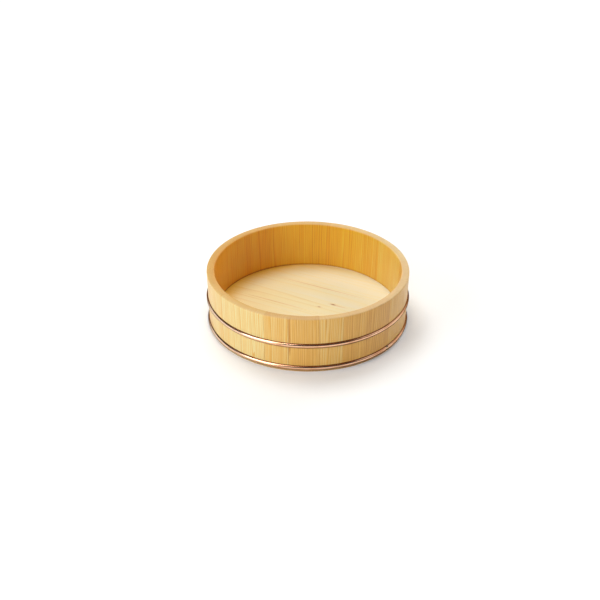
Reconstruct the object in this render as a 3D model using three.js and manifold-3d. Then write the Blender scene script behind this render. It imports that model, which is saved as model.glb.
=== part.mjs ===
// A coopered sushi rice tub: upright wooden staves, edge to edge, around a planked bottom,
// bound by two half-round copper hoops and pinned at every seam with bamboo.
// Millimetres, +Z up, with the origin at the centre of the ring that the staves' feet stand on.
import * as THREE from "three";
import { mergeVertices } from "three/addons/utils/BufferGeometryUtils.js";
import Module from "manifold-3d";

const wasm = await Module();
wasm.setup();

// Wall of staves
const rimDiameter = 300; // across the staves' outer faces at the rim
const wallTaper = 2.2; // how much less the radius is at the feet, so that hoops driven up grip
const wallHeight = 87;
const wallThickness = 11.5;
const rimRound = 2; // rounding of the rim's two edges
const footChamfer = 0.6; // broken edges of the feet
const staveCount = 24;
const staveVariation = 0.15; // share by which staves are wider or narrower than the mean
const staveRhythm = 2.8; // radians from one stave to the next in the pattern of widths
const firstSeamAngle = -27; // degrees from +X to the seam where the first stave starts
const seamGap = 0.2; // glue line between two staves or two planks

// Bottom
const bottomThickness = 10;
const bottomLift = 5; // from the feet up to the underside of the bottom
const bottomChamfer = 0.8; // broken edges around the bottom
const plankCount = 4;
const middlePlankShare = 0.5; // width of a plank away from the edge, as a share of the bottom's radius
const middleSeamShare = -0.036; // place of the middle seam along Y, as a share of the bottom's radius
const crozeDepth = 3; // groove in the staves that the bottom sits in
const crozeSideClearance = 0.4; // around the bottom's edge
const crozeFaceClearance = 0.15; // above and below the bottom

// Hoops
const hoopWidth = 6.4;
const hoopThickness = 3.1; // from the flat back to the crown
const hoopSeatDepth = 0.8; // how far a hoop is let into the wall
const hoopClearance = 0.3; // around a hoop in its seat
const upperHoopHeight = 43.5; // from the feet to the middle of the upper hoop
const lowerHoopLift = 2.2; // from the feet's chamfer up to the seat of the lower hoop

// Bamboo pins
const pinDiameter = 3;
const pinTaper = 3; // length of the pointed end
const pinTipShare = 0.5; // diameter of the tip as a share of the pin's
const pinClearance = 0.2; // around a pin in its hole, and at its ends
const stavePinLength = 20;
const stavePinDrop = 23; // from the rim down to the pins between the staves
const plankPinLength = 26;
const plankPinSpacing = 130; // between the two pins of one seam in the bottom

// Fineness of the curved faces
const ringFacets = 72; // around the wall, the bottom and the hoops
const pinFacets = 8; // around a pin and its hole
const cornerSteps = 2; // flats in the rim's rounding
const crownSteps = 6; // flats across a hoop's crown
const cutMargin = 2; // how far a cutting solid reaches past what it cuts

// Colours
const paleStave = 0xe0b878;
const deepStave = 0xcf9a55;
const staveToneStep = 0.618; // from one stave to the next, on a scale of 0 for pale to 1 for deep
const creamPlank = 0xf0d8a6;
const bambooTan = 0xcdb06a;
const brightCopper = 0xd98f6a;

// Sizes that follow
const quarterTurn = Math.PI / 2;
const floorLevel = bottomLift + bottomThickness;
const bottomMiddle = bottomLift + bottomThickness / 2;
const lowerHoopHeight = footChamfer + lowerHoopLift + hoopClearance + hoopWidth / 2;
const stavePinHeight = wallHeight - stavePinDrop;
const pinRadius = pinDiameter / 2;

// Radius of the wall's outer face at a height, and of what follows from it
const outerAt = (height) => rimDiameter / 2 - wallTaper * (1 - height / wallHeight);
const innerAt = (height) => outerAt(height) - wallThickness;
const bottomAt = (height) => innerAt(height) + crozeDepth - crozeSideClearance;
const bottomRadius = bottomAt(floorLevel);
const middlePlankWidth = middlePlankShare * bottomRadius;
const middleSeamY = middleSeamShare * bottomRadius;
const stavePinRadius = outerAt(stavePinHeight) - wallThickness / 2;

// Solids that can be joined and cut, and the way back to a geometry
function solid(geometry) {
  const bare = geometry.clone();
  bare.deleteAttribute("normal");
  bare.deleteAttribute("uv");
  const merged = mergeVertices(bare);
  const vertProperties = new Float32Array(merged.attributes.position.array);
  const triVerts = new Uint32Array(merged.index.array);
  return new wasm.Manifold(new wasm.Mesh({ numProp: 3, vertProperties, triVerts }));
}

function geometryOf(body) {
  const mesh = body.getMesh();
  const geometry = new THREE.BufferGeometry();
  geometry.setAttribute("position", new THREE.BufferAttribute(new Float32Array(mesh.vertProperties), 3));
  geometry.setIndex(new THREE.BufferAttribute(new Uint32Array(mesh.triVerts), 1));
  geometry.computeVertexNormals();
  return geometry;
}

// An outline of (radius, height) points turned about Z
function turned(outline) {
  return new THREE.LatheGeometry(outline, ringFacets).rotateX(quarterTurn);
}

// A quarter round in an outline, about its centre, starting at an angle
function roundedCorner(centreRadius, centreHeight, radius, fromAngle) {
  const points = [];
  for (let step = 0; step <= cornerSteps; step++) {
    const angle = fromAngle + (quarterTurn * step) / cornerSteps;
    const reach = centreRadius + radius * Math.cos(angle);
    points.push(new THREE.Vector2(reach, centreHeight + radius * Math.sin(angle)));
  }
  return points;
}

// A groove in an outline, from its first edge to its second, cut below a face to a depth
function groove(faceAt, depth, firstEdge, secondEdge) {
  return [
    new THREE.Vector2(faceAt(firstEdge), firstEdge),
    new THREE.Vector2(faceAt(firstEdge) + depth, firstEdge),
    new THREE.Vector2(faceAt(secondEdge) + depth, secondEdge),
    new THREE.Vector2(faceAt(secondEdge), secondEdge),
  ];
}

function hoopSeat(height) {
  const half = hoopWidth / 2 + hoopClearance;
  return groove(outerAt, -hoopSeatDepth, height - half, height + half);
}

// Section of the wall: up the outside, over the rim, down the inside and past the croze
function wallOutline() {
  const crozeTop = floorLevel + crozeFaceClearance;
  const crozeFoot = bottomLift - crozeFaceClearance;
  const rimStart = wallHeight - rimRound;
  const outline = [
    new THREE.Vector2(innerAt(0) + footChamfer, 0),
    new THREE.Vector2(outerAt(0) - footChamfer, 0),
    new THREE.Vector2(outerAt(footChamfer), footChamfer),
    ...hoopSeat(lowerHoopHeight),
    ...hoopSeat(upperHoopHeight),
    ...roundedCorner(outerAt(rimStart) - rimRound, rimStart, rimRound, 0),
    ...roundedCorner(innerAt(rimStart) + rimRound, rimStart, rimRound, quarterTurn),
    ...groove(innerAt, crozeDepth, crozeTop, crozeFoot),
    new THREE.Vector2(innerAt(footChamfer), footChamfer),
  ];
  return [...outline, outline[0]];
}

// Angles of the seams, one more than there are staves, so that each stave has both of its own
function seamAngles() {
  const shares = [];
  for (let i = 0; i < staveCount; i++) {
    shares.push(1 + staveVariation * Math.sin(staveRhythm * i));
  }
  const total = shares.reduce((sum, share) => sum + share, 0);
  const angles = [THREE.MathUtils.degToRad(firstSeamAngle)];
  for (const share of shares) {
    angles.push(angles.at(-1) + (2 * Math.PI * share) / total);
  }
  return angles;
}

// A wedge from near the axis outwards, past the wall, half a glue line inside the two seams of one stave
function staveWedge(firstAngle, lastAngle) {
  const middle = (firstAngle + lastAngle) / 2;
  const halfSweep = (lastAngle - firstAngle) / 2;
  const apexRadius = seamGap / 2 / Math.sin(halfSweep);
  const apex = new THREE.Vector2(apexRadius * Math.cos(middle), apexRadius * Math.sin(middle));
  const reach = (rimDiameter / 2 + cutMargin) / Math.cos(halfSweep);
  const wedge = new THREE.Shape();
  wedge.moveTo(apex.x, apex.y);
  for (const angle of [firstAngle, lastAngle]) {
    wedge.lineTo(apex.x + reach * Math.cos(angle), apex.y + reach * Math.sin(angle));
  }
  const depth = wallHeight + 2 * cutMargin;
  return new THREE.ExtrudeGeometry(wedge, { depth, bevelEnabled: false }).translate(0, 0, -cutMargin);
}

// A bamboo pin along Y, pointed at both ends
function pinGeometry(length) {
  const half = length / 2;
  const tipRadius = pinRadius * pinTipShare;
  const outline = [
    new THREE.Vector2(0, -half),
    new THREE.Vector2(tipRadius, -half),
    new THREE.Vector2(pinRadius, pinTaper - half),
    new THREE.Vector2(pinRadius, half - pinTaper),
    new THREE.Vector2(tipRadius, half),
    new THREE.Vector2(0, half),
  ];
  return new THREE.LatheGeometry(outline, pinFacets);
}

// The hole that takes such a pin, also along Y, with its flats clear of the pin
function pinHole(length) {
  const radius = (pinRadius + pinClearance) / Math.cos(Math.PI / pinFacets);
  return new THREE.CylinderGeometry(radius, radius, length + 2 * pinClearance, pinFacets);
}

// A half-round band whose flat back follows the wall
function hoopGeometry(height) {
  const outline = [];
  for (let step = 0; step <= crownSteps; step++) {
    const angle = -quarterTurn + (Math.PI * step) / crownSteps;
    const level = height + (hoopWidth / 2) * Math.sin(angle);
    const back = outerAt(level) - hoopSeatDepth + hoopClearance;
    outline.push(new THREE.Vector2(back + hoopThickness * Math.cos(angle), level));
  }
  return turned([...outline, outline[0]]);
}

// The whole bottom, before it is divided into planks
function bottomDisc() {
  const lowEdge = bottomLift + bottomChamfer;
  const highEdge = floorLevel - bottomChamfer;
  const outline = [
    new THREE.Vector2(0, bottomLift),
    new THREE.Vector2(bottomAt(bottomLift) - bottomChamfer, bottomLift),
    new THREE.Vector2(bottomAt(lowEdge), lowEdge),
    new THREE.Vector2(bottomAt(highEdge), highEdge),
    new THREE.Vector2(bottomAt(floorLevel) - bottomChamfer, floorLevel),
    new THREE.Vector2(0, floorLevel),
  ];
  return turned(outline);
}

// Finishes
function staveWood(index) {
  const color = new THREE.Color(paleStave).lerp(new THREE.Color(deepStave), (index * staveToneStep) % 1);
  return new THREE.MeshStandardMaterial({ color, roughness: 0.5, metalness: 0 });
}

function bottomWood() {
  return new THREE.MeshStandardMaterial({ color: creamPlank, roughness: 0.6, metalness: 0 });
}

function bamboo() {
  return new THREE.MeshStandardMaterial({ color: bambooTan, roughness: 0.7, metalness: 0 });
}

function copper() {
  return new THREE.MeshStandardMaterial({ color: brightCopper, roughness: 0.25, metalness: 1 });
}

const tub = new THREE.Group();

function addPiece(parent, name, geometry, material) {
  const piece = new THREE.Mesh(geometry, material);
  piece.name = name;
  parent.add(piece);
  return piece;
}

// Staves, cut from one turned wall, each with a pin hole in both edges
const wall = solid(turned(wallOutline()));
const seams = seamAngles();
const seamHoles = seams.map((angle) =>
  solid(pinHole(stavePinLength).translate(stavePinRadius, 0, stavePinHeight).rotateZ(angle))
);
for (let i = 0; i < staveCount; i++) {
  const stave = wall
    .intersect(solid(staveWedge(seams[i], seams[i + 1])))
    .subtract(seamHoles[i])
    .subtract(seamHoles[i + 1]);
  const number = String(i + 1).padStart(2, "0");
  addPiece(tub, `stave_${number}`, geometryOf(stave), staveWood(i));

  const seam = new THREE.Group();
  seam.rotation.z = seams[i];
  const pin = addPiece(seam, `stave_pin_${number}`, pinGeometry(stavePinLength), bamboo());
  pin.position.set(stavePinRadius, 0, stavePinHeight);
  tub.add(seam);
}

// Bottom planks along X, cut from one disc, with two pins across each seam
const bottom = solid(bottomDisc());
const plankReach = bottomRadius + cutMargin;
const plankEdges = [-plankReach];
const pinPlaces = [];
for (let i = 1; i < plankCount; i++) {
  const seamY = middleSeamY + (i - plankCount / 2) * middlePlankWidth;
  plankEdges.push(seamY);
  for (const side of [-1, 1]) {
    pinPlaces.push(new THREE.Vector3((side * plankPinSpacing) / 2, seamY, bottomMiddle));
  }
}
plankEdges.push(plankReach);
for (let i = 0; i < plankCount; i++) {
  const plankY = (plankEdges[i] + plankEdges[i + 1]) / 2;
  const width = plankEdges[i + 1] - plankEdges[i] - seamGap;
  const depth = bottomThickness + 2 * cutMargin;
  const strip = new THREE.BoxGeometry(2 * plankReach, width, depth);
  let plank = bottom.intersect(solid(strip.translate(0, plankY, bottomMiddle)));
  for (const place of pinPlaces) {
    plank = plank.subtract(solid(pinHole(plankPinLength).translate(place.x, place.y, place.z)));
  }
  addPiece(tub, `bottom_plank_${i + 1}`, geometryOf(plank), bottomWood());
}
pinPlaces.forEach((place, i) => {
  const pin = addPiece(tub, `bottom_pin_${i + 1}`, pinGeometry(plankPinLength), bamboo());
  pin.position.copy(place);
});

// Hoops
addPiece(tub, "upper_hoop", hoopGeometry(upperHoopHeight), copper());
addPiece(tub, "lower_hoop", hoopGeometry(lowerHoopHeight), copper());

export default tub;
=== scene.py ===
import bpy
import numpy as np
from mathutils import Matrix, Vector


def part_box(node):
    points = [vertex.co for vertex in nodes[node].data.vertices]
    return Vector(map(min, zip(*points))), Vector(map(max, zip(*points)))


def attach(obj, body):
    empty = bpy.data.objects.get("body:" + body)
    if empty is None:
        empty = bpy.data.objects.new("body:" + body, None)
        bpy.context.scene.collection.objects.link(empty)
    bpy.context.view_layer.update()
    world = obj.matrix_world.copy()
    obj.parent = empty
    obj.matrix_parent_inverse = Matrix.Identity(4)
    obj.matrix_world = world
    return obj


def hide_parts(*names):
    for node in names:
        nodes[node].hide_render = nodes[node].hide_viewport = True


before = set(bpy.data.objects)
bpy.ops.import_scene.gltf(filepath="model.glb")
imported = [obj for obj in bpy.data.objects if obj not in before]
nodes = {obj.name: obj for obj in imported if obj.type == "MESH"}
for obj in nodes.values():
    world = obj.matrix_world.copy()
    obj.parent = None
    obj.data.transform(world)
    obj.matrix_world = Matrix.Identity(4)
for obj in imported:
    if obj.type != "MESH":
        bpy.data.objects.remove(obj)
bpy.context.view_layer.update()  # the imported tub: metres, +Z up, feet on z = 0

scene = bpy.context.scene
scene.view_settings.view_transform = "Standard"


# Corners of a CAD node: an n by 3 array.
def cadPoints(name):
    mesh = nodes[name].data
    flat = np.empty(len(mesh.vertices) * 3, np.float32)
    mesh.vertices.foreach_get("co", flat)
    return flat.reshape(-1, 3).astype(float)


# Distance of points from the tub's axis, and their angle round it from +X.
def polar(points):
    return np.hypot(points[:, 0], points[:, 1]), np.arctan2(points[:, 1], points[:, 0])


# Sizes that the pieces share, measured on the CAD nodes.
staveNames = sorted(name for name in nodes if name.startswith("stave_") and "pin" not in name)
plankNames = sorted(name for name in nodes if name.startswith("bottom_plank"))
hoopNames = ("lower_hoop", "upper_hoop")
staveCloud = np.concatenate([cadPoints(name) for name in staveNames])
plankCloud = np.concatenate([cadPoints(name) for name in plankNames])
rimRadius = polar(staveCloud)[0].max()
wallHeight = staveCloud[:, 2].max()
floorLevel = plankCloud[:, 2].max()
undersideLevel = plankCloud[:, 2].min()
bottomRadius = polar(plankCloud)[0].max()
plankSeams = [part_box(name)[1].y for name in plankNames[:-1]]  # y where each plank but the last ends
hoopSpans = [[corner.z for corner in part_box(name)] for name in hoopNames]


# Unit vector from the tub to a place around it: degrees round to the right from the front, degrees up.
def outward(azimuth, elevation):
    turn, rise = np.radians([azimuth, elevation])
    return Vector((np.sin(turn) * np.cos(rise), -np.cos(turn) * np.cos(rise), np.sin(rise)))


# Camera, at the angle of the photograph.
camera = {
    "azimuth": 27.0,  # degrees from the front, to the right
    "elevation": 30.84,
    "roll": 0.165,  # degrees that the picture leans clockwise
    "distance": 1.65,
    "lens": 65.94,
    "aimHeight": 0.0438,
    "aimShift": (0.0116, 0.0125),  # metres right and up from the picture's centre to the aimed point
}


# The eye is on a sphere about the picture's centre; right and up are square to the view, then rolled.
def addCamera(c):
    back = outward(c["azimuth"], c["elevation"])
    right = Vector((0, 0, 1)).cross(back).normalized()
    up = back.cross(right)
    centre = Vector((0, 0, c["aimHeight"])) - right * c["aimShift"][0] - up * c["aimShift"][1]
    roll = np.radians(c["roll"])
    turnedRight = right * np.cos(roll) + up * np.sin(roll)
    turnedUp = up * np.cos(roll) - right * np.sin(roll)
    data = bpy.data.cameras.new("camera")
    data.lens = c["lens"]
    eye = bpy.data.objects.new("camera", data)
    axes = Matrix((turnedRight, turnedUp, back)).transposed().to_4x4()
    eye.matrix_world = Matrix.Translation(centre + back * c["distance"]) @ axes
    scene.collection.objects.link(eye)
    scene.camera = eye


addCamera(camera)
print("camera: azimuth", camera["azimuth"], "elevation", camera["elevation"])


# An sRGB colour on a scale of 0 to 255, as the linear colour that a socket holds.
def paint(red, green, blue):
    share = np.array([red, green, blue]) / 255
    linear = np.where(share <= 0.04045, share / 12.92, ((share + 0.055) / 1.055) ** 2.4)
    return (*linear.tolist(), 1.0)


# A new material, its tree and its Principled shader.
def newMaterial(name):
    material = bpy.data.materials.new(name)
    material.use_nodes = True
    return material, material.node_tree, material.node_tree.nodes["Principled BSDF"]


# A node whose inputs are given by name or number: a socket is linked, anything else is a value.
def addNode(tree, kind, inputs, **settings):
    node = tree.nodes.new(kind)
    for key, value in settings.items():
        setattr(node, key, value)
    for key, value in inputs.items():
        if isinstance(value, bpy.types.NodeSocket):
            tree.links.new(value, node.inputs[key])
        else:
            node.inputs[key].default_value = value
    return node


# One step of arithmetic on two or three numbers.
def calc(tree, operation, *numbers):
    return addNode(tree, "ShaderNodeMath", dict(enumerate(numbers)), operation=operation).outputs[0]


# One step of arithmetic on two vectors.
def vectorCalc(tree, operation, first, second):
    return addNode(tree, "ShaderNodeVectorMath", {0: first, 1: second}, operation=operation).outputs[0]


# Length of a vector.
def vectorLength(tree, vector):
    return addNode(tree, "ShaderNodeVectorMath", {0: vector}, operation="LENGTH").outputs["Value"]


# Each number times its weight, added up.
def weighted(tree, pairs, start=0.0):
    total = start
    for number, weight in pairs:
        total = calc(tree, "MULTIPLY_ADD", number, weight, total)
    return total


# A number carried from one range to another and held inside it.
def remap(tree, number, fromLow, fromHigh, toLow, toHigh):
    ends = {"From Min": fromLow, "From Max": fromHigh, "To Min": toLow, "To Max": toHigh}
    return addNode(tree, "ShaderNodeMapRange", {"Value": number, **ends}).outputs["Result"]


# Two colours mixed by a factor. The node's colours are its inputs 6 and 7 and its output 2.
def mixed(tree, factor, first, second, blend="MIX"):
    inputs = {"Factor": factor, 6: first, 7: second}
    return addNode(tree, "ShaderNodeMix", inputs, data_type="RGBA", blend_type=blend).outputs[2]


# Values that were stored at the points of a mesh.
def stored(tree, name, output="Fac"):
    return addNode(tree, "ShaderNodeAttribute", {}, attribute_name=name).outputs[output]


# Noise on a vector that is stretched by a factor along each axis, so that it runs in streaks.
def streaks(tree, vector, stretch, detail):
    scaled = vectorCalc(tree, "MULTIPLY", vector, stretch)
    inputs = {"Vector": scaled, "Scale": 1.0, "Detail": detail, "Roughness": 0.55}
    return addNode(tree, "ShaderNodeTexNoise", inputs).outputs["Fac"]


noiseRange = (0.3, 0.7)  # nearly all values of a noise lie between these


# Noise carried from its usual range to another.
def spread(tree, noise, low, high):
    return remap(tree, noise, *noiseRange, low, high)


# Place on the tub, and distance from its axis.
def placeOnTub(tree):
    place = addNode(tree, "ShaderNodeTexCoord", {}).outputs["Object"]
    return place, vectorLength(tree, vectorCalc(tree, "MULTIPLY", place, (1.0, 1.0, 0.0)))


# Fine relief: bumps of a height follow a texture, at half strength.
def relief(tree, shader, texture, height):
    inputs = {"Strength": 0.5, "Distance": height, "Height": texture}
    tree.links.new(addNode(tree, "ShaderNodeBump", inputs).outputs["Normal"], shader.inputs["Normal"])


# Wood: growth rings are a sawtooth across the grain, its spacing bent by noise; noise drawn out along
# the grain gives fibres and broad bands; their weighted sum picks a shade between pale and deep.
def woodColor(tree, w):
    grain = stored(tree, "grain", "Vector")
    bend = spread(tree, streaks(tree, grain, w["bendStretch"], detail=1.0), -w["bend"], w["bend"])
    bent = vectorCalc(tree, "ADD", grain, addNode(tree, "ShaderNodeCombineXYZ", {"X": bend}).outputs[0])
    bandLength = 2 * np.pi / 20  # a band texture repeats at this length when its scale is 1
    inputs = {"Vector": bent, "Scale": bandLength / w["ringPitch"]}
    rings = addNode(tree, "ShaderNodeTexWave", inputs, wave_profile="SAW").outputs["Fac"]
    fibres = streaks(tree, grain, w["fibreStretch"], detail=3.0)
    broad = streaks(tree, grain, w["broadStretch"], detail=2.0)
    shares = w["shares"]
    pairs = [(calc(tree, "POWER", rings, w["ringPower"]), shares["rings"]),
             (spread(tree, fibres, -0.5, 0.5), shares["fibres"]),
             (spread(tree, broad, -0.5, 0.5), shares["broad"])]
    shade = weighted(tree, pairs, stored(tree, "tone"))
    ramp = addNode(tree, "ShaderNodeValToRGB", {"Fac": shade})
    ramp.color_ramp.elements[0].color = paint(*w["pale"])
    ramp.color_ramp.elements[1].color = paint(*w["deep"])
    ramp.color_ramp.elements.new(0.5).color = paint(*w["middle"])
    return ramp.outputs["Color"], fibres


# A satin finish: the fibres change the gloss a little and stand up a little; matt adds to the roughness.
def satin(tree, shader, w, color, fibres, matt=None):
    tree.links.new(color, shader.inputs["Base Color"])
    roughness = spread(tree, fibres, *w["roughness"])
    if matt:
        roughness = calc(tree, "ADD", roughness, matt)
    tree.links.new(roughness, shader.inputs["Roughness"])
    relief(tree, shader, fibres, w["fibreHeight"])


staveWood = {
    "pale": (225, 212, 152),
    "middle": (222, 171, 78),
    "deep": (188, 122, 42),
    "endPale": (217, 190, 147),  # cut ends, painted paler on the lit side of the tub and deeper on the shaded side opposite it
    "endDeep": (199, 152, 82),
    "endShade": (150, 96, 48),  # on the staves that have deeper ends
    "endFrom": 0.3,  # how squarely a face crosses the grain where it starts to count as cut
    "endShare": 0.7,  # how far a cut face takes these colours
    "endMatt": 0.4,  # roughness that goes with a whole share of them
    "insidePale": (255, 240, 110),  # painted shade and warm bounce light: the inner faces are deeper by these, on the same two sides
    "insideDeep": (255, 219, 98),
    "insideChange": (0.1, 0.5),  # shares toward the lit side between which deep gives way to pale
    "insideFadeFrom": 0.7,  # share toward the lit side from which the painted shade is less, and how much less at the most
    "insideFade": 0.5,
    # painted shade in the hoop seats and in the groove for the bottom
    "groove": (126, 60, 16),
    "cornerPale": (176, 112, 20),  # painted shade along the bottom inside, on the same two sides, up to this height
    "cornerDeep": (142, 54, 12),
    "cornerHeight": 0.0034,
    "cornerChange": (0.2, 0.8),  # shares toward the lit side between which deep gives way to pale
    "cornerShares": (0.2, 0.9, 0.9, 0.5),  # two shares toward the lit side, and how strong the painted shade is at each
    "foot": (150, 116, 88),  # painted shade on the feet, below the lower hoop
    "footShare": 0.5,
    "footEdge": 0.001,  # height over which the stain ends
    "ringPitch": 0.0029,
    "ringPower": 2.0,  # the higher, the narrower the dark side of a ring
    "bend": 0.003,  # how far the rings are pushed about, and over what lengths
    "bendStretch": (70.0, 40.0, 3.0),  # one over the length across, through and along the grain
    "fibreStretch": (1500.0, 1500.0, 22.0),
    "broadStretch": (90.0, 40.0, 5.0),
    "shares": {"rings": 0.42, "fibres": 0.26, "broad": 0.20},
    "roughness": (0.36, 0.48),
    "sealer": 0.25,  # share of a thin clear coat, and its roughness
    "sealerRoughness": 0.3,
    "fibreHeight": 0.00005,
}


# Stave wood, paler on the cut ends; painted shade deepens it inside, along the bottom, on the feet and in
# the grooves, and painted light makes the ends and inside paler on the lit side.
def makeStaveWood(w):
    material, tree, shader = newMaterial("staveWood")
    color, fibres = woodColor(tree, w)
    faded = stored(tree, "faded")
    inside = stored(tree, "inside")
    # Painted shade and bounce light inside, deeper towards the shaded side.
    side = remap(tree, faded, *w["insideChange"], 0.0, 1.0)
    tint = mixed(tree, side, paint(*w["insideDeep"]), paint(*w["insidePale"]))
    strength = remap(tree, faded, w["insideFadeFrom"], 1.0, 1.0, 1.0 - w["insideFade"])
    color = mixed(tree, calc(tree, "MULTIPLY", inside, strength), color, tint, "MULTIPLY")

    # Cut ends, with painted light: paler on the lit side, deeper on the shaded side.
    ends = mixed(tree, faded, paint(*w["endDeep"]), paint(*w["endPale"]))
    ends = mixed(tree, stored(tree, "endShade"), ends, paint(*w["endShade"]))
    cut = remap(tree, stored(tree, "endGrain"), w["endFrom"], 1.0, 0.0, w["endShare"])
    color = mixed(tree, cut, color, ends)

    height = addNode(tree, "ShaderNodeSeparateXYZ", {0: placeOnTub(tree)[0]}).outputs["Z"]
    # Painted shade along the bottom inside, deeper on the shaded side.
    side = remap(tree, faded, *w["cornerChange"], 0.0, 1.0)
    tint = mixed(tree, side, paint(*w["cornerDeep"]), paint(*w["cornerPale"]))
    corner = remap(tree, height, floorLevel, floorLevel + w["cornerHeight"], 1.0, 0.0)
    corner = calc(tree, "MULTIPLY", corner, remap(tree, faded, *w["cornerShares"]))
    color = mixed(tree, calc(tree, "MULTIPLY", corner, inside), color, tint)
    # Painted shade on the feet, below the lower hoop.
    hoopFoot = hoopSpans[0][0]
    stainAndShade = remap(tree, height, hoopFoot - w["footEdge"], hoopFoot, w["footShare"], 0.0)
    color = mixed(tree, stainAndShade, color, paint(*w["foot"]))
    # Painted shade in the grooves.
    color = mixed(tree, stored(tree, "groove"), color, paint(*w["groove"]))

    satin(tree, shader, w, color, fibres, calc(tree, "MULTIPLY", cut, w["endMatt"]))
    tree.links.new(remap(tree, cut, 0.0, w["endShare"], w["sealer"], 0.0), shader.inputs["Coat Weight"])
    shader.inputs["Coat Roughness"].default_value = w["sealerRoughness"]
    return material


plankWood = {
    "pale": (247, 233, 205),
    "middle": (249, 229, 181),
    "deep": (232, 198, 132),
    "fadedTint": (244, 254, 255),  # painted light: on the lit side of the tub, and on the shaded side opposite it
    "unfadedTint": (255, 251, 228),
    "corner": (252, 202, 36),  # painted shade and warm bounce light: a deeper strip along the wall, on the shaded side
    "cornerWidth": 0.028,
    "cornerShare": 0.85,
    "streak": (228, 168, 30),
    "streaks": (  # middle along and across, half length, half width and strength of each
        (0.0310, 0.0267, 0.0120, 0.0040, 0.30),
        (0.0140, 0.0115, 0.0070, 0.0036, 0.22),
        (0.0420, 0.0264, 0.0150, 0.0013, 0.50),
    ),
    "seamStains": (  # number of a seam, counted from the front, then the same, but across from that seam
        (3, -0.0100, 0.00067, 0.0850, 0.0020, 0.42),
        (2, -0.0500, 0.00011, 0.0600, 0.0020, 0.36),
    ),
    "knot": (176, 118, 60),
    "knots": (
        (0.0298, 0.0268, 0.0056, 0.0022, 0.90),
        (0.0136, 0.0115, 0.0032, 0.0020, 0.50),
    ),
    "markCore": 0.2,  # share of a mark's size over which it has its full strength
    "ringPitch": 0.0130,
    "ringPower": 3.5,
    "bend": 0.008,
    "bendStretch": (40.0, 20.0, 2.5),
    "fibreStretch": (1400.0, 1400.0, 16.0),
    "broadStretch": (45.0, 20.0, 3.0),
    "shares": {"rings": 0.40, "fibres": 0.30, "broad": 0.36},
    "roughness": (0.45, 0.58),
    "fibreHeight": 0.00005,
}


# Pale plank wood, with small knots and streaks that fade out as ovals, painted light that is paler on the
# lit side, and a strip of painted shade along the wall.
def makePlankWood(w):
    material, tree, shader = newMaterial("plankWood")
    color, fibres = woodColor(tree, w)
    place, radius = placeOnTub(tree)
    marks = [(mark, w["streak"]) for mark in w["streaks"]] + [(mark, w["knot"]) for mark in w["knots"]]
    for seam, along, fromSeam, *size in w["seamStains"]:
        marks.append(((along, plankSeams[seam - 1] + fromSeam, *size), w["streak"]))
    for (along, across, halfLength, halfWidth, strength), stainAndShade in marks:
        offset = vectorCalc(tree, "SUBTRACT", place, (along, across, floorLevel))
        scaled = vectorCalc(tree, "MULTIPLY", offset, (1 / halfLength, 1 / halfWidth, 1 / halfLength))
        share = remap(tree, vectorLength(tree, scaled), w["markCore"], 1.0, strength, 0.0)
        color = mixed(tree, share, color, paint(*stainAndShade), "MULTIPLY")
    # Painted light: paler on the lit side, warmer on the shaded side.
    tint = mixed(tree, stored(tree, "faded"), paint(*w["unfadedTint"]), paint(*w["fadedTint"]))
    color = vectorCalc(tree, "MULTIPLY", color, tint)
    # Painted shade along the wall, on the shaded side.
    wallRadius = outerAt(floorLevel) - wall["thickness"]
    corner = remap(tree, radius, wallRadius - w["cornerWidth"], wallRadius, 0.0, w["cornerShare"])
    corner = calc(tree, "MULTIPLY", corner, stored(tree, "shaded"))
    satin(tree, shader, w, mixed(tree, corner, color, paint(*w["corner"])), fibres)
    return material


hoopCopper = {
    "bright": (244, 198, 162),
    "dull": (222, 164, 122),
    "cloudRange": (0.4, 0.7),  # values of a noise between which bright gives way to dull
    # painted highlight, on the lit side
    "polished": (250, 226, 206),
    "under": (124, 74, 50),  # painted shade and dark reflection on the lower side
    # painted dark reflection where the strip is seen edge on from the camera
    "patina": (116, 90, 62),
    "edge": (160, 90, 56),  # painted shade and dark reflection along the top, where a hoop meets the wood
    "braze": (240, 226, 176),  # filler in the joint, and the open ends of the joint
    "gap": (48, 34, 22),
    "grazing": (84, 80, 72),  # tint of the gloss where the copper is seen edge on
    "drawStretch": (5.0, 3000.0, 3000.0),
    "cloudStretch": (45.0, 70.0, 70.0),
    "roughness": (0.13, 0.24),
    "lineHeight": 0.000015,
}


# Polished copper strip: noise clouds it, noise drawn out along the strip gives fine lines, and shares
# stored at its points bring in the other colours, each over the last: a painted highlight, painted shade
# and dark reflections, and the joint's filler and gap.
def makeCopper(c):
    material, tree, shader = newMaterial("hoopCopper")
    strip = stored(tree, "grain", "Vector")
    lines = streaks(tree, strip, c["drawStretch"], detail=2.0)
    clouds = streaks(tree, strip, c["cloudStretch"], detail=3.0)
    dullness = remap(tree, clouds, *c["cloudRange"], 0.0, 1.0)
    color = mixed(tree, dullness, paint(*c["bright"]), paint(*c["dull"]))
    for name in ("polished", "under", "patina", "edge", "braze", "gap"):
        color = mixed(tree, stored(tree, name), color, paint(*c[name]))
    shader.inputs["Metallic"].default_value = 1.0
    shader.inputs["Specular Tint"].default_value = paint(*c["grazing"])
    tree.links.new(color, shader.inputs["Base Color"])
    tree.links.new(spread(tree, clouds, *c["roughness"]), shader.inputs["Roughness"])
    relief(tree, shader, lines, c["lineHeight"])
    return material


bambooPeg = {
    "pale": (214, 186, 112),
    "deep": (168, 132, 66),
    "speckRange": (0.35, 0.65),  # values of a noise between which pale gives way to deep
    "stretch": (900.0, 900.0, 900.0),
    "roughness": 0.62,
}


# Bamboo: specks of noise choose between two tans.
def makeBamboo(b):
    material, tree, shader = newMaterial("bambooPeg")
    specks = streaks(tree, placeOnTub(tree)[0], b["stretch"], detail=2.0)
    depth = remap(tree, specks, *b["speckRange"], 0.0, 1.0)
    color = mixed(tree, depth, paint(*b["pale"]), paint(*b["deep"]))
    tree.links.new(color, shader.inputs["Base Color"])
    shader.inputs["Roughness"].default_value = b["roughness"]
    return material


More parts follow.
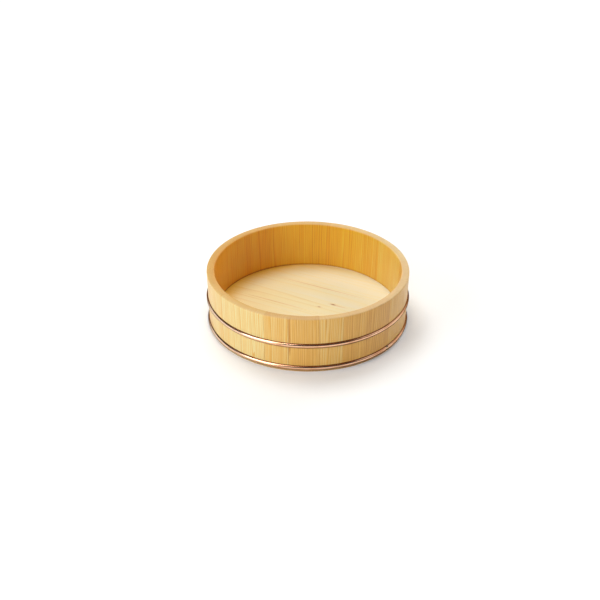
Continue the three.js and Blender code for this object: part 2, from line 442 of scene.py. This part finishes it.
# Quads of a slab: two grids of rows by columns points, joined all round their edges.
def slabQuads(rows, columns):
    near = np.arange(rows * columns).reshape(rows, columns)
    far = near + rows * columns

    # Quads between neighbours of one grid.
    def sheet(grid):
        corners = [grid[:-1, :-1], grid[1:, :-1], grid[1:, 1:], grid[:-1, 1:]]
        return np.stack(corners, -1).reshape(-1, 4)

    # Quads between one edge of the first grid and the same edge of the second.
    def strip(first, second):
        return np.stack([first[:-1], second[:-1], second[1:], first[1:]], -1)

    return np.concatenate([
        sheet(near),
        sheet(far)[:, ::-1],
        strip(near[0], far[0])[:, ::-1],
        strip(near[-1], far[-1]),
        strip(near[:, 0], far[:, 0]),
        strip(near[:, -1], far[:, -1])[:, ::-1],
    ])


# Quads of a ring: a grid that closes on itself both ways.
def ringQuads(rows, columns):
    here = np.arange(rows * columns).reshape(rows, columns)
    onward = np.roll(here, -1, 0)
    corners = [here, onward, np.roll(onward, -1, 1), np.roll(here, -1, 1)]
    return np.stack(corners, -1).reshape(-1, 4)


sharpAngle = 35  # degrees between two faces from which the edge between them isn't smoothed


# A piece of the tub from points and quads, with numbers stored at its points for its material.
def addPiece(replaced, points, quads, values, material):
    name = replaced.replace("_", "")
    mesh = bpy.data.meshes.new(name)
    mesh.from_pydata(points.reshape(-1, 3).tolist(), [], quads.tolist())
    for key, numbers in values.items():
        flat = np.ascontiguousarray(numbers, np.float32).ravel()
        kind, field = ("FLOAT_VECTOR", "vector") if flat.size > len(mesh.vertices) else ("FLOAT", "value")
        mesh.attributes.new(key, kind, "POINT").data.foreach_set(field, flat)
    mesh.shade_smooth()
    mesh.set_sharp_from_angle(angle=np.radians(sharpAngle))
    mesh.materials.append(material)
    piece = bpy.data.objects.new(name, mesh)
    scene.collection.objects.link(piece)
    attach(piece, "root")
    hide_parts(replaced)


# A quarter circle in even steps: how far it has come along one side, and how far it is still drawn in.
def easedEdge(radius, steps):
    turn = np.linspace(0, np.pi / 2, steps)
    return radius * (1 - np.cos(turn)), radius * (1 - np.sin(turn))


# 1 between two levels and 0 outside them, with a short slope at both.
def trench(levels, low, high, slope):
    return np.interp(levels, [low - slope, low, high, high + slope], [0, 1, 1, 0])


# What differs from piece to piece: each size times a sine that goes on by a step for every piece.
def varied(sizes, index):
    rhythm = sizes["rhythm"].items()
    return {key: sizes[key] * np.sin(step * index + start) for key, (step, start) in rhythm}


# What belongs to one side of the tub: its share about the side's middle, which is in degrees from +X, and
# none away from it. Its reach is the cosines of the angles from the middle where it starts and is full.
def atSide(angles, side):
    nearness = np.cos(angles - np.radians(side["middle"]))
    return np.interp(nearness, side["reach"], [0.0, side["share"]])


# Staves
wall = {
    "taper": 0.0022,  # how much less the radius is at the feet than at the rim
    "thickness": 0.0115,
    "rimRound": 0.002,  # rounding of the rim, and its points
    "rimSteps": 9,
    "footRound": 0.0006,
    "footSteps": 4,
    "edgeRound": 0.0001,  # eased corner along each seam
    "edgeSteps": 4,
    "seamGaps": (0.00003, -0.00018),  # added to the glue line outside, and inside, where staves touch
    "seatDepth": 0.0008,  # seat of a hoop, and the play above and below the hoop
    "seatPlay": 0.0004,
    "loose": {"middle": -28.0, "reach": (0.90, 0.97), "share": 0.5},  # where hoops leave more play
    "snug": {"middle": 20.0, "reach": (0.85, 0.98), "share": 0.8},  # and less
    "snugLight": 0.5,  # how much less painted shade the grooves get for a whole share less of play
    "crozeDepth": 0.003,  # groove for the bottom, and the play above and below it
    "crozePlay": 0.00005,
    "slope": 0.0002,  # how far a groove's walls lean
    "step": 0.004,  # greatest distance between points up the wall
    "closerSteps": (0.001, 0.002, 0.003),  # points above the bottom, where the groove's shading ends
    "belowRim": 1.2,  # and below the rim, in roundings
    "stations": 13,  # points across one stave
    "endStation": 0.02,  # place of the first of them, and of the last from the other seam
    "outOfLine": 0.00006,  # how far staves stand in or out of the circle
    "middleTone": 0.38,
    "tones": 0.06,  # how far staves differ in shade
    # Partly each stave's own tone and partly painted light: staves 18 to 21, on the lit side outside, are
    # paler for a painted sheen of the lamps there.
    "shades": {  # staves that are paler, under 0, or deeper than that
        "stave_17": -0.06, "stave_18": -0.27, "stave_19": -0.25, "stave_20": -0.25, "stave_21": -0.15,
        "stave_22": 0.09, "stave_24": 0.08, "stave_01": 0.14, "stave_02": 0.10, "stave_03": 0.03,
        "stave_05": -0.14, "stave_06": -0.23, "stave_07": -0.11, "stave_08": -0.03, "stave_09": -0.06,
        "stave_10": -0.02, "stave_11": -0.05, "stave_12": -0.06, "stave_13": -0.05, "stave_14": -0.05,
        "stave_15": -0.06,
    },
    "endShades": {"stave_20": 0.06, "stave_21": 0.22, "stave_22": 0.22},  # staves with deeper ends
    "ringTilt": 20.0,  # degrees that rings lean from square to the face, either way
    "ringVariety": 0.25,  # how far the rings' spacing differs from stave to stave
    "rhythm": {  # step and start, in radians, of the sines by which staves differ
        "outOfLine": (5.3, 0.0), "tones": (4.1, 1.0), "ringTilt": (2.4, 0.5), "ringVariety": (2.9, -1.45),
    },
    "timberStep": (0.37, 0.53),  # metres across and along the grain from one stave's timber to the next
    "fadedSide": 20.0,  # degrees from +X to the side painted as lit, where rim, inside and bottom are palest
}


# Outer radius at a height: a straight taper from rim to feet.
def outerAt(level):
    return rimRadius - wall["taper"] * (1 - level / wallHeight)


# How far the eased edges draw a face in: a quarter circle at the rim and another at the feet.
def edgeInset(levels):
    rim, foot = wall["rimRound"], wall["footRound"]
    top = np.clip(levels - (wallHeight - rim), 0, rim)
    low = np.clip(foot - levels, 0, foot)
    return rim - np.sqrt(rim**2 - top**2) + foot - np.sqrt(foot**2 - low**2)


# Low and high edges of the two hoop seats and of the groove for the bottom.
def wallGrooves(play):
    seats = [(low - play, high + play) for low, high in hoopSpans]
    return [*seats, (undersideLevel - wall["crozePlay"], floorLevel + wall["crozePlay"])]


# Heights of the wall's points: closer where an edge is eased or a groove starts, and even steps between,
# apart from those that would come within a fifth of a step of the others.
def wallLevels(grooves):
    slope = wall["slope"]
    edges = [(low - 2 * slope, low - slope, low, high, high + slope, high + 2 * slope)
             for low, high in grooves]
    rim = wallHeight - easedEdge(wall["rimRound"], wall["rimSteps"])[0]
    foot = easedEdge(wall["footRound"], wall["footSteps"])[0]
    closer = floorLevel + np.array(wall["closerSteps"])
    belowRim = wallHeight - wall["belowRim"] * wall["rimRound"]
    marks = np.concatenate([foot, np.ravel(edges), closer, rim, [belowRim]])
    even = np.arange(0, wallHeight, wall["step"])
    clear = np.abs(even[:, None] - marks).min(1) > wall["step"] / 5
    return np.unique(np.concatenate([marks, even[clear]]).round(6))


# Normals of a curve of radius and height points, towards greater radius.
def curveNormals(radii, levels):
    rise, run = np.gradient(levels), np.gradient(radii)
    length = np.hypot(rise, run)
    return rise / length, -run / length


# One stave: the outer and the inner curve are swept from seam to seam, and drawn in along the seams.
def addStave(index, name):
    angles = polar(cadPoints(name))[1]
    middle = np.angle(np.exp(1j * angles).mean())
    snug = atSide(middle, wall["snug"])
    grooves = wallGrooves(wall["seatPlay"] * (1 - snug + atSide(middle, wall["loose"])))
    levels = wallLevels(grooves)
    inset = edgeInset(levels)
    lowSeat, highSeat, croze = [trench(levels, *groove, wall["slope"]) for groove in grooves]
    seats = lowSeat + highSeat
    outer = outerAt(levels) - inset - wall["seatDepth"] * seats
    inner = outerAt(levels) - wall["thickness"] + inset + wall["crozeDepth"] * croze

    # Across the stave: places between the seams, how far each is drawn in, and its distance from the seam
    fromMiddle = np.angle(np.exp(1j * (angles - middle)))
    first, last = middle + fromMiddle.min(), middle + fromMiddle.max()
    fromSeam, drawnIn = easedEdge(wall["edgeRound"], wall["edgeSteps"])
    across = np.linspace(0, 1, wall["stations"])
    across[[0, -1]] = wall["endStation"], 1 - wall["endStation"]
    flat = np.zeros(len(across))
    along = np.concatenate([np.zeros_like(drawnIn), across, np.ones_like(drawnIn)])[:, None]
    depth = np.concatenate([drawnIn, flat, drawnIn[::-1]])[:, None]
    offset = np.concatenate([fromSeam, flat + fromSeam[-1], fromSeam[::-1]])[:, None]

    own = varied(wall, index)
    tilt = np.radians(own["ringTilt"])
    acrossTimber, alongTimber = np.array(wall["timberStep"]) * index
    outerGap, innerGap = wall["seamGaps"]
    points, grains, ends, dark, inside, faded = [], [], [], [], [], []
    for radii, cuts, side, gap in ((outer, seats, 1.0, outerGap), (inner, croze, -1.0, innerGap)):
        normalRadius, normalHeight = curveNormals(radii, levels)
        normalHeight[[0, -1]] = -side, side
        radius = radii - side * depth * np.abs(normalRadius) + own["outOfLine"]
        level = levels - side * depth * normalHeight
        margin = (offset + gap / 2) / radius
        angle = first + margin + along * (last - first - 2 * margin)
        points.append(np.stack([radius * np.cos(angle), radius * np.sin(angle), level], -1))
        through = radius - outerAt(level)
        ring = (angle - middle) * rimRadius * np.cos(tilt) + through * np.sin(tilt)
        ring = ring * (1 + own["ringVariety"]) + acrossTimber
        grains.append(np.stack([ring, through, level + alongTimber], -1))
        ends.append(np.broadcast_to(np.abs(normalHeight), level.shape))
        # Painted shade in the grooves, less where a hoop is snug.
        dark.append(np.broadcast_to(np.clip(cuts, 0, 1) * (1 - wall["snugLight"] * snug), level.shape))
        inside.append(np.full(level.shape, 0.5 - 0.5 * side))
        # Share towards the side painted as lit.
        faded.append(0.5 + 0.5 * np.cos(angle - np.radians(wall["fadedSide"])))
    rows, columns = points[0].shape[:2]
    tone = wall["middleTone"] + own["tones"] + wall["shades"].get(name, 0.0)
    values = {
        "grain": np.concatenate(grains),
        "endGrain": np.concatenate(ends) * (1 - np.concatenate(dark)),
        "groove": np.concatenate(dark),
        "inside": np.concatenate(inside),
        "faded": np.concatenate(faded),
        "tone": np.full(2 * rows * columns, tone),
        "endShade": np.full(2 * rows * columns, wall["endShades"].get(name, 0.0)),
    }
    addPiece(name, np.concatenate(points), slabQuads(rows, columns), values, staveMaterial)


staveMaterial = makeStaveWood(staveWood)
for index, name in enumerate(staveNames):
    addStave(index, name)
print("staves:", len(staveNames))


# Bottom planks
bottom = {
    "edgeRound": 0.0004,
    "edgeSteps": 5,
    "rimCut": 0.0001,  # cut off the outer planks, inside the groove, so that no edge shrinks to a point
    "stations": 61,  # points along a plank
    "step": 0.004,
    "middleTone": 0.25,
    "tones": 0.06,  # how far planks differ in shade
    "bow": 0.05,  # curve of the grain, in metres aside for each square metre along
    "rhythm": {"tones": (3.3, 0.0), "bow": (2.0, 1.0)},  # as for the staves
    "ringLean": 0.5,  # how far rings lean through the plank
    "timberStep": (0.407, 0.3),
    "fade": 0.17,  # painted light: how much paler it is at the lit side than in the middle
    "shadedSide": 165.0,  # degrees from +X to the side where the strip of painted shade along the wall is deepest
    "shadedReach": (0.25, 0.85),  # shares of the radius towards it, where the strip starts and is full
}


# How far points lie toward a side of the tub: 1 at the bottom's edge there, -1 at the edge opposite.
def towardSide(points, degrees):
    side = np.radians(degrees)
    return (points[..., 0] * np.cos(side) + points[..., 1] * np.sin(side)) / bottomRadius


# One plank: a slab with eased long edges, whose ends follow the bottom's circle.
def addPlank(index, name):
    low, high = [corner.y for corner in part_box(name)]
    low = max(low, bottom["rimCut"] - bottomRadius)
    high = min(high, bottomRadius - bottom["rimCut"])
    fromEdge, drawnIn = easedEdge(bottom["edgeRound"], bottom["edgeSteps"])
    margin = 2 * fromEdge[-1]
    even = np.linspace(low + margin, high - margin, int((high - low) / bottom["step"]))
    across = np.concatenate([low + fromEdge, even, (high - fromEdge)[::-1]])
    depth = np.concatenate([drawnIn, np.zeros(len(even)), drawnIn[::-1]])
    along = np.linspace(-1, 1, bottom["stations"])[:, None] * np.sqrt(bottomRadius**2 - across**2)
    own = varied(bottom, index)
    acrossTimber, alongTimber = np.array(bottom["timberStep"]) * index
    points, grains = [], []
    for level in (floorLevel - depth, undersideLevel + depth):
        place = np.stack(np.broadcast_arrays(along, across, level), -1)
        points.append(place)
        x, y, z = np.moveaxis(place, -1, 0)
        ring = y + own["bow"] * x**2 + bottom["ringLean"] * z + acrossTimber
        grains.append(np.stack([ring, z, x + alongTimber], -1))
    rows, columns = points[0].shape[:2]
    points = np.concatenate(points)
    # Painted light, paler towards the lit side, and painted shade along the wall towards the shaded side.
    toward = towardSide(points, wall["fadedSide"])
    shaded = np.interp(towardSide(points, bottom["shadedSide"]), bottom["shadedReach"], [0.0, 1.0])
    values = {
        "grain": np.concatenate(grains),
        "tone": bottom["middleTone"] + own["tones"] - bottom["fade"] * toward,
        "faded": 0.5 + 0.5 * toward,
        "shaded": shaded,
    }
    addPiece(name, points, slabQuads(rows, columns), values, plankMaterial)


plankMaterial = makePlankWood(plankWood)
for index, name in enumerate(plankNames):
    addPlank(index, name)
print("planks:", len(plankNames))


# Hoops
hoop = {
    "stations": 360,
    "crownSteps": 28,
    "joint": {"upper_hoop": 150.0, "lower_hoop": -13.7},  # degrees from +X to the brazed joint
    "jointDip": 0.00038,
    "jointWidth": 0.0013,
    "jointLean": 0.7,  # how far the joint slants along the strip for each step up it
    "jointReach": 0.004,  # how far closer points go to each side of the joint, and their number
    "jointStations": 41,
    "ripple": 0.00003,  # unevenness left by driving the hoop on, and its waves round the tub
    "rippleCount": 41,
    "bunches": 7,  # places where the waves come closer together, and by how many radians
    "bunching": 2.0,
    "edgeTurn": (0.9, 1.25),  # radians up from the crown where the painted shade along the top starts and is full
    # Painted shade and dark reflection on the lower side, at least this share all round
    "leastTarnish": 0.6,
    "tarnish": {"middle": 0.0, "reach": (0.5, 0.95), "share": 0.4},  # side with more of it
    "tarnishTurn": (-0.7, -0.1),  # radians up from the crown where it is full and where it ends
    "tarnishClimb": 0.75,  # how much higher it reaches for a whole share more
    "polish": {"middle": -135.0, "reach": (0.7, 1.0), "share": 0.7},  # side with the painted highlight, where it is palest
    "patina": (  # sides painted darker, where the strip is seen edge on from the camera
        {"middle": 26.0, "reach": (0.91, 0.985), "share": 0.8},
        {"middle": -156.0, "reach": (0.91, 0.985), "share": 0.8},
    ),
    "brazeTurn": 0.35,  # radians up from the crown to the middle of the joint's filler
    "brazeReach": (0.1, 0.4),  # radians from there where it is still full and where it ends
    "brazeShare": 0.9,
    "openWidth": 1.5,  # width of the joint's open ends, in widths of the joint
}


# One hoop: a half oval on a flat back that follows the wall, carried round the tub, with a dip at its
# joint. Colours, painted highlight and shade among them, go by the turn from the crown, the side of the
# tub and the distance from the joint.
def addHoop(name, low, high):
    radii = polar(cadPoints(name))[0]
    middle, half = (low + high) / 2, (high - low) / 2
    back = radii.min() - outerAt(low)
    thickness = radii.max() - outerAt(middle) - back
    turn = np.linspace(-np.pi / 2, np.pi / 2, hoop["crownSteps"])
    level = middle + half * np.sin(turn)
    section = outerAt(level) + back + thickness * np.cos(turn)

    joint = np.radians(hoop["joint"][name])
    even = np.linspace(0, 2 * np.pi, hoop["stations"], False)
    closer = np.linspace(-hoop["jointReach"], hoop["jointReach"], hoop["jointStations"]) / rimRadius
    angle = np.sort(np.concatenate([even, (joint + closer) % (2 * np.pi)]))[:, None]
    fromJoint = np.angle(np.exp(1j * (angle - joint))) * rimRadius - hoop["jointLean"] * (level - middle)
    inJoint = fromJoint / hoop["jointWidth"]
    seam = np.exp(-(inJoint**2))
    bunched = hoop["rippleCount"] * angle + hoop["bunching"] * np.sin(hoop["bunches"] * angle)
    wave = hoop["ripple"] * (0.5 + 0.5 * np.sin(bunched))
    radius = section - (hoop["jointDip"] * seam + wave) * np.cos(turn)
    levels = np.broadcast_to(level, radius.shape)
    points = np.stack([radius * np.cos(angle), radius * np.sin(angle), levels], -1)

    # Painted highlight and shade, by side of the tub and turn from the crown.
    more = atSide(angle, hoop["tarnish"])
    tarnish = np.interp(turn - hoop["tarnishClimb"] * more, hoop["tarnishTurn"], [1.0, 0.0])
    filled = np.interp(np.abs(turn - hoop["brazeTurn"]), hoop["brazeReach"], [1.0, 0.0])
    shares = {
        "polished": atSide(angle, hoop["polish"]),
        "under": tarnish * (hoop["leastTarnish"] + more),
        "patina": np.max([atSide(angle, side) for side in hoop["patina"]], 0),
        "edge": np.interp(turn, hoop["edgeTurn"], [0.0, 1.0]),
        "braze": hoop["brazeShare"] * filled * seam,
        "gap": (1 - filled) * np.exp(-((inJoint / hoop["openWidth"]) ** 2)),
    }
    values = {key: np.broadcast_to(share, radius.shape) for key, share in shares.items()}
    values["grain"] = np.stack([np.broadcast_to(angle * rimRadius, radius.shape), radius, levels], -1)
    addPiece(name, points, ringQuads(*radius.shape), values, copperMaterial)


copperMaterial = makeCopper(hoopCopper)
for name, span in zip(hoopNames, hoopSpans):
    addHoop(name, *span)
print("hoops:", len(hoopNames))


# Bamboo pins stay as they are in the frame, with their own material.
bambooMaterial = makeBamboo(bambooPeg)
pinNames = [name for name in nodes if "pin" in name]
for name in pinNames:
    nodes[name].data.materials.clear()
    nodes[name].data.materials.append(bambooMaterial)
print("pins:", len(pinNames))


# Floor, room and lights
stage = {
    "floorSize": 16.0,
    "floorColor": (0.92, 0.92, 0.91, 1.0),
    "lifts": ((0.30, 0.09), (1.40, 0.60), (4.00, 1.00)),  # distance from the tub, and white added there
    "horizon": 1.00,
    "ceiling": 0.07,
    "horizonTop": 0.14,  # heights, on a sphere of radius 1, between which the room darkens
    "ceilingFoot": 0.32,
    "backdrop": 0.30,  # how much higher that is behind the tub, as the camera sees it
}
lights = {  # degrees from the camera to its right, degrees up, metres away, width, height, watts, seen by
    "key": (-54.0, 25.0, 1.7, 1.0, 0.9, 13.8, "all"),
    "panel": (-56.0, 60.0, 1.7, 0.6, 1.1, 11.0, "gloss"),
    "bounce": (112.0, 42.0, 1.7, 1.9, 1.2, 5.9, "gloss"),
    "top": (-150.0, 68.0, 1.7, 0.9, 0.9, 15.6, "all"),
    "front": (0.0, 45.0, 1.7, 0.9, 0.9, 6.6, "matt"),
    "back": (140.0, 25.0, 1.7, 0.9, 0.9, 13.0, "matt"),
}


# A pale floor: diffuse, with white added on camera, glossy and transmission rays, more so far away.
def addFloor(s):
    half = s["floorSize"] / 2
    corners = [(-half, -half, 0), (half, -half, 0), (half, half, 0), (-half, half, 0)]
    mesh = bpy.data.meshes.new("floor")
    mesh.from_pydata(corners, [], [(0, 1, 2, 3)])
    floor = bpy.data.objects.new("floor", mesh)
    scene.collection.objects.link(floor)
    material, tree, shader = newMaterial("floor")
    shader.inputs["Base Color"].default_value = s["floorColor"]
    shader.inputs["Roughness"].default_value = 1.0
    shader.inputs["Specular IOR Level"].default_value = 0.0
    shader.inputs["Emission Color"].default_value = (1, 1, 1, 1)
    path = addNode(tree, "ShaderNodeLightPath", {})
    seen = calc(tree, "MAXIMUM", path.outputs["Is Camera Ray"], path.outputs["Is Glossy Ray"])
    seen = calc(tree, "MAXIMUM", seen, path.outputs["Is Transmission Ray"])
    away = placeOnTub(tree)[1]
    lift = s["lifts"][0][1]
    for (start, low), (stop, high) in zip(s["lifts"], s["lifts"][1:]):
        lift = calc(tree, "ADD", remap(tree, away, start, stop, 0.0, high - low), lift)
    tree.links.new(calc(tree, "MULTIPLY", seen, lift), shader.inputs["Emission Strength"])
    mesh.materials.append(material)


# The room: white near the horizon, fading to a dark ceiling, with the horizon higher behind the tub.
def addRoom(s):
    world = bpy.data.worlds.new("room")
    world.use_nodes = True
    scene.world = world
    tree = world.node_tree
    direction = addNode(tree, "ShaderNodeTexCoord", {}).outputs["Generated"]
    inputs = {0: direction, 1: outward(camera["azimuth"], 0.0)}
    forward = addNode(tree, "ShaderNodeVectorMath", inputs, operation="DOT_PRODUCT").outputs["Value"]
    height = addNode(tree, "ShaderNodeSeparateXYZ", {0: direction}).outputs["Z"]
    height = calc(tree, "MULTIPLY_ADD", calc(tree, "MINIMUM", forward, 0.0), s["backdrop"], height)
    level = remap(tree, height, s["horizonTop"], s["ceilingFoot"], s["horizon"], s["ceiling"])
    tree.links.new(level, tree.nodes["Background"].inputs["Strength"])
    tree.nodes["Background"].inputs["Color"].default_value = (1, 1, 1, 1)


# An oblong light on a sphere about the tub, facing it; matt ones leave no highlight, gloss ones only that.
def addLight(name, fromCamera, up, away, width, height, power, seenBy):
    toward = outward(camera["azimuth"] + fromCamera, up)
    data = bpy.data.lights.new(name, "AREA")
    data.energy = power
    data.shape = "RECTANGLE"
    data.size, data.size_y = width, height
    lamp = bpy.data.objects.new(name, data)
    lamp.visible_glossy = seenBy != "matt"
    lamp.visible_diffuse = seenBy != "gloss"
    lamp.location = toward * away + Vector((0, 0, wallHeight / 2))
    lamp.rotation_mode = "QUATERNION"
    lamp.rotation_quaternion = toward.to_track_quat("Z", "Y")
    scene.collection.objects.link(lamp)


addFloor(stage)
addRoom(stage)
for name, settings in lights.items():
    addLight(name, *settings)
print("stage: floor, room and", len(lights), "lights")
